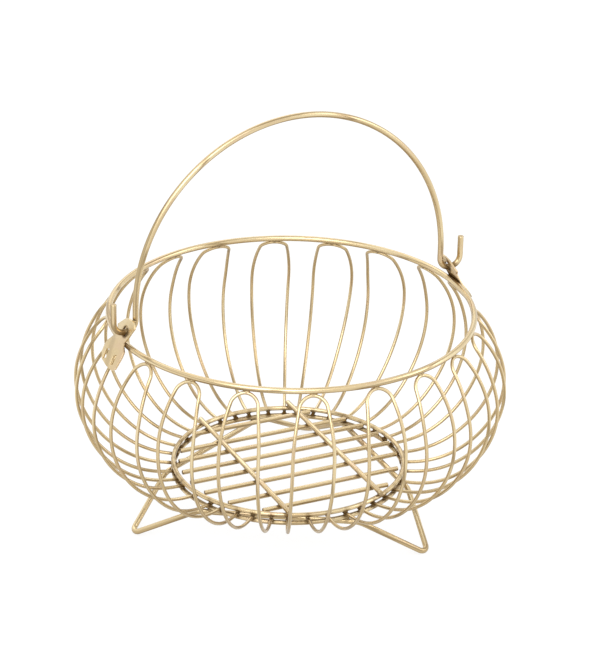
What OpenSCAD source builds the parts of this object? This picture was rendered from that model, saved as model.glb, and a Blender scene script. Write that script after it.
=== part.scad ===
// Hanging wire fruit basket.
// A round bowl of hairpin ribs is welded between a rim ring and a pair of base
// rings. A slatted grille closes the bottom, one bent wire makes the three feet,
// and a carrying handle swings in two ears on the rim.
// Origin: centre of the footprint, on the surface the feet stand on. +Z is up,
// and the two ears lie on the X axis.

/* [Rim] */
// Centreline radius of the rim ring, mm
rim_radius = 115; // [100:1:130]
// Wire diameter of the rim ring, mm
rim_wire = 3.8; // [3.2:0.1:4.4]

/* [Ribs] */
// Number of hairpin ribs round the bowl
rib_count = 20; // [16:1:20]
// Wire diameter of a rib, mm
rib_wire = 2.2; // [1.8:0.1:2.6]
// Length of a rib along its curve, mm
rib_length = 149.8; // [140:0.2:158]
// Outward lean of the ribs where they leave the rim, degrees
rib_lean = 46.4; // [44:0.2:48]
// Inward lean of the ribs where they reach the base, degrees
rib_tuck = 86.5; // [84:0.2:88]
// Half width of the round top of a hairpin, mm
rib_top_half = 7.2; // [5:0.1:9]
// Half width of a hairpin at the widest part of the bowl, mm
rib_belly_half = 12.2; // [8:0.1:13]
// Half width of a hairpin under the widest part, mm
rib_low_half = 9.9; // [6:0.1:11]
// Half width of a hairpin at the base, mm
rib_end_half = 5.4; // [4:0.1:6.4]

/* [Base] */
// Wire diameter of the two base rings, mm
base_wire = 3; // [2.4:0.1:3.6]
// How far a rib reaches in past the centreline of the base rings, mm
rib_reach = 2.2; // [1.6:0.1:4]

/* [Grille] */
// Number of thin slats
slat_count = 8; // [5:1:8]
// Wire diameter of a slat, mm
slat_wire = 3; // [2.6:0.1:3.4]
// Distance of the outer slats inside the base ring centreline, mm
slat_margin = 18.1; // [14:0.1:24]
// Distance of the slat ends inside the base ring centreline, mm
slat_inset = 3.6; // [3.4:0.1:8]
// Wire diameter of the two cross bars, mm
bar_wire = 3.2; // [2.8:0.1:3.6]
// Distance of each cross bar from the middle, mm
bar_offset = 31.8; // [24:0.2:40]
// How far the cross bars reach past the base ring centreline, mm
bar_reach = 2.6; // [1.6:0.1:5]
// Turn of the grille against the ears, degrees
grille_turn = -3; // [-20:1:20]

/* [Feet] */
// Number of feet
foot_count = 3; // [3:1:4]
// Wire diameter of the foot frame, mm
foot_wire = 3.6; // [3:0.1:4]
// Drop of the feet under their frame, mm
foot_drop = 21.8; // [14:0.2:30]
// Distance of a foot tip from the middle, mm
foot_radius = 105.9; // [92:0.1:116]
// Half angle at the middle between the two legs of a foot, degrees
foot_spread = 20.4; // [18:0.2:26]
// Distance of a leg top outside the base ring centreline, mm
foot_overhang = 5.2; // [2:0.2:7]
// Bend radius at a foot tip, mm
foot_tip_bend = 4.5; // [3:0.5:7]
// Bend radius at a leg top, mm
foot_top_bend = 14; // [6:0.5:18]
// Direction of the first foot, degrees from the right ear
foot_turn = 55; // [40:1:70]

/* [Ears] */
// Plate thickness of an ear, mm
ear_thick = 1.2; // [0.8:0.1:1.6]
// Half width of the ear tail, mm
ear_half = 12; // [10:0.5:13]
// Half width of the ear tab at its widest, mm
ear_tab_half = 10.4; // [9:0.2:11]
// Height of the ear tab over its bend, mm
ear_tab_height = 17.7; // [16.5:0.1:18.5]
// Length of the flared tail of the ear under its bend, mm
ear_tail = 15.4; // [12:0.2:18]
// Inward lean of the ear tab, degrees
ear_lean = 20; // [16:1:22]
// Outward flare of the ear tail, degrees
ear_flare = 35; // [35:1:40]
// Diameter of the round hole in an ear, mm
ear_hole = 5.8; // [4.8:0.1:6.4]

/* [Handle] */
// Wire diameter of the handle, mm
handle_wire = 3.8; // [3.4:0.1:4.2]
// Height of the pivot over the rim centreline, mm
pivot_height = 8.2; // [7.8:0.1:8.8]
// Inside step of the handle legs from the rim centreline, mm
handle_step = 6.8; // [6.6:0.1:8]
// Straight height of the handle legs over the pivot, mm
handle_leg = 13.6; // [8:0.2:30]
// Spacing of the handle leg and the hook leg, mm
hook_gap = 14.8; // [14.2:0.1:18]
// Height of the hook end over the pivot, mm
hook_height = 20; // [12:0.5:26]
// Bend radius of the hooks, mm
hook_bend = 7; // [5:0.1:7]
// Angle of the handle from upright, degrees
handle_angle = 0; // [-90:1:90]

/* [Hidden] */

// Gap that the weld bridges between two touching wires
weld_gap = 0.05;
// Clearance under the handle wire in the ear hole
pivot_clearance = 0.3;
// Direction in which a rib top lies against the rim, degrees out from straight down
rib_seat_angle = 16;
// Sides and rings of a swept rib
rib_sides = 6;
rib_leg_rings = 13;
rib_top_rings = 5;
rib_steps = 120;
// Sides of the swept foot wire and its rings on each bend
foot_sides = 8;
foot_bend_rings = 5;
wire_fn = 32;
ring_fn = 180;

// The rib curve is a chain of arcs: their lengths as shares of the rib, and the
// share of the whole turn that each of them makes.
rib_arc_shares = [0.246, 0.212, 0.280, 0.200, 0.062];
rib_bend_shares = [0.234, 0.252, 0.275, 0.239, 0];
// Where along the rib its half widths hold, as shares of its length.
rib_width_shares = [0, 0.267, 0.667, 1];
// The ribs are set by hand: how far each stands off its even place, as shares of
// the spacing, from the right ear round.
rib_place_shares = [
  0.18, 0.13, 0.22, 0.17, 0.01, 0.03, -0.01, 0.01, -0.03, -0.02,
  -0.10, 0.06, 0.01, -0.05, -0.09, -0.01, -0.04, -0.06, 0.01, 0.13
];
rib_turn = -3.8;
// How far the top of each rib stands off its base, as shares of the spacing.
rib_twist_shares = [
  -0.04, -0.17, -0.21, -0.26, -0.04, 0, -0.03, -0.24, -0.17, -0.03,
  0.06, -0.11, -0.08, -0.04, 0.10, 0.11, 0.05, 0.01, -0.11, -0.25
];
// How wide each rib is bent at its base and at its top, as shares of the even width.
rib_low_width_shares = [
  0.80, 1.06, 0.97, 0.93, 0.96, 0.86, 0.99, 0.88, 0.96, 1.01,
  0.80, 1.30, 1.04, 1.04, 1.12, 1.07, 0.98, 0.98, 1.22, 1.15
];
rib_top_width_shares = [
  0.97, 1.05, 1.18, 1.14, 1.05, 1.14, 1.07, 1.08, 0.95, 0.85,
  0.90, 0.90, 0.97, 0.98, 0.98, 0.98, 0.98, 1.04, 1.08, 1.05
];
// The same for the slats, from the back to the front.
slat_place_shares = [0.04, -0.11, 0.08, 0.15, 0.23, 0.24, 0.11, 0.03];
// How far each foot stands off its even place, as shares of its spread.
foot_place_shares = [0, 0.02, 0.08, 0];
// The ear is stamped uneven: its tail stands aside of the hole, and its tab is a
// skewed square. Heights where the outline turns, and how far it reaches to the near
// and the far side of the hole there, as shares of the half widths.
tab_height_shares = [0.14, 0.41, 0.57, 0.83, 0.92, 1];
tab_near_shares = [0.26, 0.55, 0.66, 0.89, 0.76, 0.51];
tab_far_shares = [1.15, 0.92, 1.11, 0.64, 0.47, 0.05];
tail_length_shares = [0.14, 0.38, 0.69, 0.90, 1];
tail_near_shares = [0.56, 0.65, 0.67, 0.68, 0.52];
tail_far_shares = [1.29, 1.35, 1.21, 0.88, 0.17];
// The same for the waist at the bend.
waist_near_share = 0.27;
waist_far_share = 1.17;
// Places, length and width of the two slots in the tail, as shares of its sizes.
slot_side_shares = [0.10, -0.78];
slot_down_share = 0.63;
slot_long_share = 0.34;
slot_wide_share = 0.26;
// Lean of the slots, degrees
slot_lean = 20;

// Sum of a list up to, but not with, item n.
function sum_to(list, n) = n <= 0 ? 0 : list[n - 1] + sum_to(list, n - 1);
function limit(x, low, high) = min(max(x, low), high);
function unit(v) = v / norm(v);
function around(r, a, z) = [r * cos(a), r * sin(a), z];
rib_pitch = 360 / rib_count;
function rib_angle(i) = rib_turn + rib_pitch * (i + rib_place_shares[i]);

// Heading of the rib from straight down, outward positive, at a share u of it.
rib_whole_turn = rib_lean + rib_tuck;
function rib_heading(u) = rib_lean - rib_whole_turn * sum_to([
  for (k = [0:len(rib_arc_shares) - 1])
    rib_bend_shares[k] * limit((u - sum_to(rib_arc_shares, k)) / rib_arc_shares[k], 0, 1)
], len(rib_arc_shares));

// The rib curve as points out of and down from the rim centreline. Its top lies
// against the underside of the rim ring, a little outside of it.
rib_seat = (rim_wire + rib_wire) / 2 + weld_gap;
rib_step = rib_length / rib_steps;
rib_curve = [
  for (
    i = 0, p = rib_seat * [sin(rib_seat_angle), -cos(rib_seat_angle)];
    i <= rib_steps;
    p = p + rib_step * [sin(rib_heading((i + 0.5) / rib_steps)), -cos(rib_heading((i + 0.5) / rib_steps))],
    i = i + 1
  ) p
];
rib_out_table = [for (i = [0:rib_steps]) [i * rib_step, rim_radius + rib_curve[i][0]]];
rib_down_table = [for (i = [0:rib_steps]) [i * rib_step, rib_curve[i][1]]];
function rib_out(s) = lookup(s, rib_out_table);
function rib_down(s) = lookup(s, rib_down_table);

// Half width of a hairpin at a length s, a smooth curve through its four widths.
rib_halves = [rib_top_half, rib_belly_half, rib_low_half, rib_end_half];
rib_marks = rib_width_shares * rib_length;
function width_slope(k) = k == 0 ? 1.5 * (rib_halves[1] - rib_halves[0]) / (rib_marks[1] - rib_marks[0])
  : k == 1 ? 0
  : k == 2 ? (rib_halves[3] - rib_halves[1]) / (rib_marks[3] - rib_marks[1])
  : 1.3 * (rib_halves[3] - rib_halves[2]) / (rib_marks[3] - rib_marks[2]);
function hermite(a, b, m, n, t) =
  a * (1 + 2 * t) * pow(1 - t, 2) + m * t * pow(1 - t, 2)
  + b * t * t * (3 - 2 * t) - n * t * t * (1 - t);
function width_piece(k, s) = let (d = rib_marks[k + 1] - rib_marks[k])
  hermite(
    rib_halves[k], rib_halves[k + 1], d * width_slope(k), d * width_slope(k + 1), (s - rib_marks[k]) / d
  );
function rib_half(s) = s < rib_marks[1] ? width_piece(0, s)
  : s < rib_marks[2] ? width_piece(1, s)
  : width_piece(2, s);

// One hairpin as [length, offset] pairs: up one leg, round the top and down.
function rib_leg(k) =
  let (s = rib_top_half + (rib_length - rib_top_half) * k / rib_leg_rings) [s, rib_half(s)];
function rib_top(k) =
  let (a = 90 * k / rib_top_rings, s = rib_top_half * (1 - cos(a))) [s, rib_half(s) * sin(a)];
rib_half_path = concat(
  [for (k = [0:rib_top_rings - 1]) rib_top(k)],
  [for (k = [0:rib_leg_rings]) rib_leg(k)]
);
rib_rings = len(rib_half_path);
rib_path = concat(
  [for (k = [rib_rings - 1:-1:1]) [rib_half_path[k][0], -rib_half_path[k][1]]],
  rib_half_path
);
rib_last = len(rib_path) - 1;
// Direction of point q of rib i round the bowl: its place, its twist and its width.
function rib_fade(q) = 1 - q[0] / rib_length;
function rib_width_share(i, q) =
  rib_low_width_shares[i] + (rib_top_width_shares[i] - rib_low_width_shares[i]) * rib_fade(q);
function rib_direction(i, q) = rib_angle(i) + rib_pitch * rib_twist_shares[i] * rib_fade(q)
  + asin(q[1] * rib_width_share(i, q) / rib_out(q[0]));
// The same point on the bowl surface, and the way out of that surface there.
function bowl_point(i, q) = around(rib_out(q[0]), rib_direction(i, q), rib_down(q[0]));
function bowl_normal(i, q) =
  let (h = rib_heading(q[0] / rib_length)) around(cos(h), rib_direction(i, q), sin(h));
// The skin of rib i: rings of six points round the line of its wire.
function rib_skin(i) = let (p = [for (q = rib_path) bowl_point(i, q)]) [
  for (j = [0:rib_last])
    let (
      t = unit(p[min(j + 1, rib_last)] - p[max(j - 1, 0)]),
      b = unit(cross(t, bowl_normal(i, rib_path[j]))),
      n = cross(b, t)
    )
      for (k = [0:rib_sides - 1])
        p[j] + rib_wire / 2 * (cos(360 * k / rib_sides) * n + sin(360 * k / rib_sides) * b)
];
rib_faces = concat(
  [[for (k = [0:rib_sides - 1]) k]],
  [
    for (i = [0:rib_last - 1])
      for (k = [0:rib_sides - 1])
        let (a = i * rib_sides + k, b = i * rib_sides + (k + 1) % rib_sides)
          each [[a, a + rib_sides, b + rib_sides], [a, b + rib_sides, b]]
  ],
  [[for (k = [rib_sides - 1:-1:0]) rib_last * rib_sides + k]]
);

// Heights, built up from the surface the feet stand on.
foot_frame_z = foot_wire / 2 + foot_drop;
base_lower_z = foot_frame_z + (foot_wire + base_wire) / 2 + weld_gap;
rib_base_z = base_lower_z + (base_wire + rib_wire) / 2 + 2 * weld_gap;
base_upper_z = rib_base_z + (base_wire + rib_wire) / 2 + 2 * weld_gap;
rim_z = rib_base_z - rib_down(rib_length - rib_reach);
base_radius = rib_out(rib_length - rib_reach);
bar_z = base_upper_z + (base_wire + bar_wire) / 2 + weld_gap;
slat_z = bar_z - (bar_wire + slat_wire) / 2 - weld_gap;
pivot_z = rim_z + pivot_height;

// Ear: the tab lies against the outside of the rim and the tail against the ribs.
// Each is a flat plate, and they meet in one bend.
ear_tab_reach = (rim_wire + ear_thick) / 2 + weld_gap;
ear_tail_reach = (rib_wire + ear_thick) / 2 + weld_gap
  + max([for (p = rib_curve) p * [cos(ear_flare), sin(ear_flare)]]);
ear_bend_x = rim_radius
  + (ear_tab_reach * sin(ear_flare) - ear_tail_reach * sin(ear_lean)) / sin(ear_flare - ear_lean);
ear_bend_z = rim_z
  + (ear_tail_reach * cos(ear_lean) - ear_tab_reach * cos(ear_flare)) / sin(ear_flare - ear_lean);
// The hole stands so that the handle wire hangs just clear of its lower edge.
ear_hole_z = pivot_z + (ear_hole - handle_wire) / 2 - pivot_clearance;

// Spacing of the slats, evened out over the base ring.
slat_pitch = 2 * (base_radius - slat_margin) / (slat_count - 1);

// Handle and hook positions along X.
handle_radius = rim_radius - handle_step;
hook_x = handle_radius + hook_gap;

// Direction of each foot, and the places of its three corners.
foot_top_radius = base_radius + foot_overhang;
function foot_angle(k) = foot_turn + 360 / foot_count * k + foot_spread * foot_place_shares[k];
// A foot tip is the middle of its bend, so the corner of its legs lies further out.
foot_top_out = foot_top_radius * cos(foot_spread);
foot_top_side = foot_top_radius * sin(foot_spread);
foot_tip_reach = norm([foot_radius - foot_top_out, foot_drop]);
function foot_corner_reach(n) = n == 0 ? foot_tip_reach
  : foot_tip_reach + foot_tip_bend * (1 / sin(atan(foot_top_side / foot_corner_reach(n - 1))) - 1);
foot_corner_share = foot_corner_reach(8) / foot_tip_reach;
foot_corners = [
  for (k = [0:foot_count - 1])
    let (a = foot_angle(k))
      each [
        around(foot_top_radius, a - foot_spread, foot_frame_z),
        around(
          foot_top_out + (foot_radius - foot_top_out) * foot_corner_share,
          a,
          foot_frame_z - foot_drop * foot_corner_share
        ),
        around(foot_top_radius, a + foot_spread, foot_frame_z)
      ]
];
foot_corner_count = len(foot_corners);
// The closed wire of the feet as [point, direction] pairs, a few on each bend.
foot_path = [
  for (i = [0:foot_corner_count - 1])
    let (
      before = foot_corners[(i + foot_corner_count - 1) % foot_corner_count],
      corner = foot_corners[i],
      after = foot_corners[(i + 1) % foot_corner_count],
      radius = i % 3 == 1 ? foot_tip_bend : foot_top_bend,
      u = unit(corner - before),
      v = unit(after - corner),
      turn = acos(u * v),
      out = cross(u, unit(cross(u, v))),
      centre = corner + unit(v - u) * radius / cos(turn / 2)
    )
      for (k = [0:foot_bend_rings - 1])
        let (a = turn * k / (foot_bend_rings - 1))
          [centre + radius * (cos(a) * out + sin(a) * u), cos(a) * u - sin(a) * out]
];
foot_rings = len(foot_path);
foot_skin = [
  for (q = foot_path)
    let (b = unit(cross(q[1], [0, 0, 1])), n = cross(b, q[1]))
      for (k = [0:foot_sides - 1])
        q[0] + foot_wire / 2 * (cos(360 * k / foot_sides) * n + sin(360 * k / foot_sides) * b)
];
foot_faces = [
  for (i = [0:foot_rings - 1])
    for (k = [0:foot_sides - 1])
      let (
        j = (i + 1) % foot_rings,
        m = (k + 1) % foot_sides
      )
        each [
          [i * foot_sides + k, j * foot_sides + k, j * foot_sides + m],
          [i * foot_sides + k, j * foot_sides + m, i * foot_sides + m]
        ]
];

// A straight wire between two points.
module rod(from, to, wire) {
  v = to - from;
  translate(from)
    rotate([0, acos(v[2] / norm(v)), atan2(v[1], v[0])])
      cylinder(d = wire, h = norm(v), $fn = wire_fn);
}

// The round bend of a wire at a corner.
module bend(before, corner, after, radius, wire) {
  u = unit(corner - before);
  v = unit(after - corner);
  turn = acos(limit(u * v, -1, 1));
  n = unit(cross(u, v));
  start = cross(u, n);
  tilt = acos(n[2]);
  swing = atan2(n[1], n[0]);
  roll = atan2(
    start * [-sin(swing), cos(swing), 0],
    start * [cos(tilt) * cos(swing), cos(tilt) * sin(swing), -sin(tilt)]
  );
  translate(corner + unit(v - u) * radius / cos(turn / 2))
    rotate([0, tilt, swing])
      rotate([0, 0, roll])
        rotate_extrude(angle = turn, $fn = ring_fn)
          translate([radius, 0])
            circle(d = wire, $fn = wire_fn);
}

module wire_ring(radius, wire, z) {
  translate([0, 0, z])
    rotate_extrude($fn = ring_fn)
      translate([radius, 0])
        circle(d = wire, $fn = wire_fn);
}

module rim_ring() {
  color("goldenrod") wire_ring(rim_radius, rim_wire, rim_z);
}

module base_ring_upper() {
  color("darkgoldenrod") wire_ring(base_radius, base_wire, base_upper_z);
}

module base_ring_lower() {
  color("peru") wire_ring(base_radius, base_wire, base_lower_z);
}

// One hairpin rib: a wire bent double, its round top at the rim.
module hairpin(i) {
  color(i % 2 == 0 ? "khaki" : "burlywood")
    translate([0, 0, rim_z])
      polyhedron(points = rib_skin(i), faces = rib_faces, convexity = 6);
}

// One thin slat, its ends free inside the base ring.
module slat(i) {
  y = slat_pitch * ((slat_count - 1) / 2 - i + slat_place_shares[i]);
  half = sqrt(pow(base_radius - slat_inset, 2) - y * y);
  color("tan")
    rotate([0, 0, grille_turn])
      translate([-half, y, slat_z])
        rotate([0, 90, 0])
          cylinder(d = slat_wire, h = 2 * half, $fn = wire_fn);
}

// One cross bar over the slats, its ends on the base ring.
module cross_bar(side) {
  half = sqrt(pow(base_radius + bar_reach, 2) - pow(bar_offset, 2));
  color("sienna")
    rotate([0, 0, grille_turn])
      translate([side * bar_offset, -half, bar_z])
        rotate([-90, 0, 0])
          cylinder(d = bar_wire, h = 2 * half, $fn = wire_fn);
}

// One closed wire, bent into three feet joined by three straight chords.
module foot_frame() {
  color("steelblue") polyhedron(points = foot_skin, faces = foot_faces, convexity = 6);
}

// Bent sheet of an ear from the side, with its bend at the origin and +Y up. It runs on
// past both ends, which the outline cuts.
module ear_profile() {
  tab_out = [cos(ear_lean), sin(ear_lean)] * ear_thick / 2;
  tail_out = [cos(ear_flare), sin(ear_flare)] * ear_thick / 2;
  bend_out = (tab_out + tail_out) / (1 + cos(ear_flare - ear_lean));
  tab_end = [-sin(ear_lean), cos(ear_lean)] * 2 * ear_tab_height;
  tail_end = [sin(ear_flare), -cos(ear_flare)] * 2 * ear_tail;
  polygon([
    tab_end + tab_out, bend_out, tail_end + tail_out,
    tail_end - tail_out, -bend_out, tab_end - tab_out
  ]);
}

// Outline of an ear from outside, with its bend at the origin and +Y up.
module ear_outline() {
  up = ear_tab_height * cos(ear_lean) * tab_height_shares;
  down = ear_tail * cos(ear_flare) * tail_length_shares;
  tab_last = len(up) - 1;
  tail_last = len(down) - 1;
  polygon(concat(
    [for (k = [tab_last:-1:0]) [ear_tab_half * tab_near_shares[k], up[k]]],
    [[ear_half * waist_near_share, 0]],
    [for (k = [0:tail_last]) [ear_half * tail_near_shares[k], -down[k]]],
    [for (k = [tail_last:-1:0]) [-ear_half * tail_far_shares[k], -down[k]]],
    [[-ear_half * waist_far_share, 0]],
    [for (k = [0:tab_last]) [-ear_tab_half * tab_far_shares[k], up[k]]]
  ));
}

// Two slots in the ear tail.
module tail_slots() {
  for (side = slot_side_shares)
    translate([ear_half * side, -ear_tail * cos(ear_flare) * slot_down_share])
      rotate([0, 0, slot_lean])
        square([ear_half * slot_wide_share, ear_tail * slot_long_share], center = true);
}

module ear() {
  difference() {
    translate([ear_bend_x, 0, ear_bend_z])
      intersection() {
        rotate([90, 0, 0])
          linear_extrude(4 * ear_half, center = true) ear_profile();
        rotate([90, 0, 90])
          linear_extrude(4 * ear_half, center = true)
            difference() {
              ear_outline();
              tail_slots();
            }
      }
    translate([handle_radius, 0, ear_hole_z])
      rotate([0, 90, 0])
        cylinder(d = ear_hole, h = hook_gap, $fn = 48);
  }
}

module ear_right() {
  color("slategray") ear();
}

module ear_left() {
  color("slategray") rotate([0, 0, 180]) ear();
}

// Half of the handle under its arch: leg, hook bend through the ear, hook leg.
module handle_end() {
  leg = [handle_radius, 0, handle_leg];
  inner = [handle_radius, 0, 0];
  outer = [hook_x, 0, 0];
  tip = [hook_x, 0, hook_height];
  rod(inner + [0, 0, hook_bend], leg, handle_wire);
  bend(leg, inner, outer, hook_bend, handle_wire);
  rod(inner + [hook_bend, 0, 0], outer - [hook_bend, 0, 0], handle_wire);
  bend(inner, outer, tip, hook_bend, handle_wire);
  rod(outer + [0, 0, hook_bend], tip, handle_wire);
}

module handle() {
  color("gold")
    translate([0, 0, pivot_z])
      rotate([handle_angle, 0, 0]) {
        translate([0, 0, handle_leg])
          rotate([90, 0, 0])
            rotate_extrude(angle = 180, $fn = ring_fn)
              translate([handle_radius, 0])
                circle(d = handle_wire, $fn = wire_fn);
        handle_end();
        mirror([1, 0, 0]) handle_end();
      }
}

rim_ring();
base_ring_upper();
base_ring_lower();
hairpin(0);  // hairpin_01
hairpin(1);  // hairpin_02
hairpin(2);  // hairpin_03
hairpin(3);  // hairpin_04
hairpin(4);  // hairpin_05
hairpin(5);  // hairpin_06
hairpin(6);  // hairpin_07
hairpin(7);  // hairpin_08
hairpin(8);  // hairpin_09
hairpin(9);  // hairpin_10
hairpin(10);  // hairpin_11
hairpin(11);  // hairpin_12
hairpin(12);  // hairpin_13
hairpin(13);  // hairpin_14
hairpin(14);  // hairpin_15
hairpin(15);  // hairpin_16
hairpin(16);  // hairpin_17
hairpin(17);  // hairpin_18
hairpin(18);  // hairpin_19
hairpin(19);  // hairpin_20
slat(0);  // slat_1
slat(1);  // slat_2
slat(2);  // slat_3
slat(3);  // slat_4
slat(4);  // slat_5
slat(5);  // slat_6
slat(6);  // slat_7
slat(7);  // slat_8
cross_bar(-1);  // cross_bar_left
cross_bar(1);  // cross_bar_right
foot_frame();
ear_left();
ear_right();
handle();
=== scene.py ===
"""Looks of a hanging wire fruit basket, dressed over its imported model.

The basket is put together in the order of the sections: rim, ribs, base rings,
grille, feet, ears, handle, weld beads. Then come the setting and the camera.
"""

import bmesh
import bpy
import numpy as np
from mathutils import Matrix, Vector


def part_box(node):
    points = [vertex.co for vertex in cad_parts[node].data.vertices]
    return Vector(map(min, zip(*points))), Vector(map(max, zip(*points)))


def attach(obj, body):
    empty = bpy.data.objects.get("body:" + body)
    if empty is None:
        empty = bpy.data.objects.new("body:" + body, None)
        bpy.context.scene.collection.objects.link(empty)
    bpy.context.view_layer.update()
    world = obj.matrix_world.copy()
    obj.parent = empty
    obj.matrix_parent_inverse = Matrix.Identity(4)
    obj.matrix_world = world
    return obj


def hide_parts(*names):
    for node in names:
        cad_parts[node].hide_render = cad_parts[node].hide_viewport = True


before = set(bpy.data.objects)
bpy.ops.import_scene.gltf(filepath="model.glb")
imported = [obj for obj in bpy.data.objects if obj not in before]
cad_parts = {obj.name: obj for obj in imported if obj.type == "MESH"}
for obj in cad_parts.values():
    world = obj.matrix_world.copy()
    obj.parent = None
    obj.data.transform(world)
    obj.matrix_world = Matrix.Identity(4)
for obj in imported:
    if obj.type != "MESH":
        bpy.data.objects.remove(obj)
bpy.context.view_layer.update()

# Rim ring.
# The rim is one steel wire bent to a circle and butt welded, then lacquered with
# the rest in an antique gold. Everything of the bowl hangs from it.
MM = 0.001
RIM_RADIUS = 115 * MM
RIM_WIRE = 3.8 * MM
WELD_GAP = 0.05 * MM
RIM_SIDES, RING_STEPS = 20, 720
rim_low, rim_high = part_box("rim_ring")
rim_z = (rim_low.z + rim_high.z) / 2


def unit(v):
    """Vectors of length one, in the directions of the rows of v."""
    return v / np.linalg.norm(v, axis=-1, keepdims=True)


def around(radius, angle, z):
    """Points on circles round the Z axis: x is the radius times the cosine of the
    angle, y is the radius times its sine, and z is the height."""
    return np.stack(np.broadcast_arrays(radius * np.cos(angle), radius * np.sin(angle), z), -1)


def grid_mesh(name, points, uv, closed_along=False, flat_ends=True):
    """A mesh over a grid of points whose second parameter closes on itself.
    Face (i, j) joins rows i, i + 1 and columns j, j + 1, and looks outwards. An open
    grid is closed by one face at each end."""
    rows, columns = points.shape[:2]
    last = rows if closed_along else rows - 1
    i, j = np.meshgrid(np.arange(last), np.arange(columns), indexing="ij")
    i2, j2 = (i + 1) % rows, (j + 1) % columns
    quads = np.stack([i * columns + j, i * columns + j2, i2 * columns + j2, i2 * columns + j], -1)
    quads = quads.reshape(-1, 4)
    first_row = np.arange(columns)
    rims = [] if closed_along else [first_row[::-1], (rows - 1) * columns + first_row]
    loops = np.concatenate([quads.ravel(), *rims])
    sizes = np.array([4] * len(quads) + [columns] * len(rims))
    mesh = bpy.data.meshes.new(name)
    mesh.vertices.add(rows * columns)
    mesh.vertices.foreach_set("co", points.reshape(-1).astype(np.float32))
    mesh.loops.add(len(loops))
    mesh.loops.foreach_set("vertex_index", loops.astype(np.int32))
    mesh.polygons.add(len(sizes))
    mesh.polygons.foreach_set("loop_start", (np.cumsum(sizes) - sizes).astype(np.int32))
    smooth = np.ones(len(sizes), bool)
    if flat_ends and rims:
        smooth[-2:] = False
    mesh.polygons.foreach_set("use_smooth", smooth)
    u = uv[0][np.stack([i, i, i + 1, i + 1], -1).ravel()]
    v = uv[1][np.stack([j, j + 1, j + 1, j], -1).ravel()]
    corners = np.zeros((len(loops), 2), np.float32)
    corners[: len(u)] = np.stack([u, v], -1)
    layer = mesh.uv_layers.new(name="wire")
    layer.uv.foreach_set("vector", corners.ravel())
    mesh.update(calc_edges=True)
    mesh.validate()
    return mesh


def point_values(mesh, name, values):
    """Stores one value for each point of a mesh, for its material to read."""
    made = mesh.attributes.new(name, "FLOAT", "POINT")
    made.data.foreach_set("value", values.astype(np.float32))


def heat_at(points, spots, reach):
    """How dark the lacquer is made: 1 on a spot, which is a weld or, on the base rings, a point of
    painted shade, and evenly down to 0 at `reach` from it.
    The reach is one length, or one for each weld. The points go in parts of a few
    thousand, to spare memory."""
    part_size = 4096
    heat = np.zeros(len(points))
    for start in range(0, len(points), part_size):
        part = points[start:start + part_size]
        gaps = np.linalg.norm(part[:, None] - spots[None], axis=-1)
        heat[start:start + part_size] = (1 - gaps / np.broadcast_to(reach, len(spots))).max(1)
    return np.clip(heat, 0, 1)


def add_piece(name, mesh, material, body, nodes):
    """Puts a finished mesh in the scene as a piece that rides on a body and stands
    for CAD nodes."""
    mesh.materials.append(material)
    piece = bpy.data.objects.new(name, mesh)
    bpy.context.scene.collection.objects.link(piece)
    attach(piece, body)
    if nodes:
        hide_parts(*nodes)
    return piece


def wire(name, node, path, across, diameter, sides, spots, reach,
         closed=False, body="basket", cut=0.12 * MM):
    """A round wire along a path. Every point of the path carries a circle: the point
    plus the radius times the cosine of v along the normal and the sine of v along
    the side. The side is the path's direction crossed with `across`, and the normal
    is the side crossed with the direction. The edges of the two ends are broken over
    `cut`, and the lacquer is darkened round the spots: burnt at welds, and with
    painted shade at spots put where shade falls."""
    if closed:
        step = np.roll(path, -1, 0) - np.roll(path, 1, 0)
    else:
        step = np.gradient(path, axis=0)
    tangent = unit(step)
    if not closed:
        first, last = path[:1] + tangent[:1] * cut, path[-1:] - tangent[-1:] * cut
        path = np.concatenate([path[:1], first, path[1:-1], last, path[-1:]])
        tangent = np.repeat(tangent, np.r_[2, np.ones(len(tangent) - 2, int), 2], axis=0)
        across = np.repeat(across, np.r_[2, np.ones(len(across) - 2, int), 2], axis=0)
    radius = np.full(len(path), diameter / 2)
    if not closed:
        radius[[0, -1]] -= cut
    side = unit(np.cross(tangent, across))
    normal = np.cross(side, tangent)
    v = np.linspace(0, 2 * np.pi, sides, endpoint=False)[None, :, None]
    ring = np.cos(v) * normal[:, None] + np.sin(v) * side[:, None]
    points = path[:, None] + radius[:, None, None] * ring
    length = np.linalg.norm(np.diff(path, axis=0, append=path[:1]), axis=1)
    along = np.concatenate([[0], np.cumsum(length)])
    girth = np.linspace(0, np.pi * diameter, sides + 1)
    mesh = grid_mesh(name, points, (along, girth), closed)
    point_values(mesh, "scorch_and_shade", heat_at(points.reshape(-1, 3), spots, reach))
    # The flank value drives the painted shade on the wire's flanks.
    point_values(mesh, "flank", np.tile(np.abs(np.sin(v[0, :, 0])), len(path)))
    add_piece(name, mesh, gold_wire, body, [node])


def feed(tree, socket, value):
    """Gives an input socket a plain value, or the output that feeds it."""
    if isinstance(value, bpy.types.NodeSocket):
        tree.links.new(value, socket)
    else:
        socket.default_value = value


def put(tree, kind, values=None, **settings):
    """Adds a node to a tree. The values go to its inputs, and the settings are the
    node's own."""
    made = tree.nodes.new(kind)
    for key, value in settings.items():
        setattr(made, key, value)
    for key, value in (values or {}).items():
        feed(tree, made.inputs[key], value)
    return made


def group(name, inputs, outputs):
    """A new shader node group with named sockets. Returns it, what it is given and
    where its results go."""
    tree = bpy.data.node_groups.new(name, "ShaderNodeTree")
    for way, sockets in (("INPUT", inputs), ("OUTPUT", outputs)):
        for label, kind in sockets:
            tree.interface.new_socket(label, in_out=way, socket_type="NodeSocket" + kind)
    given, results = tree.nodes.new("NodeGroupInput"), tree.nodes.new("NodeGroupOutput")
    return tree, given.outputs, results.inputs


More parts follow.
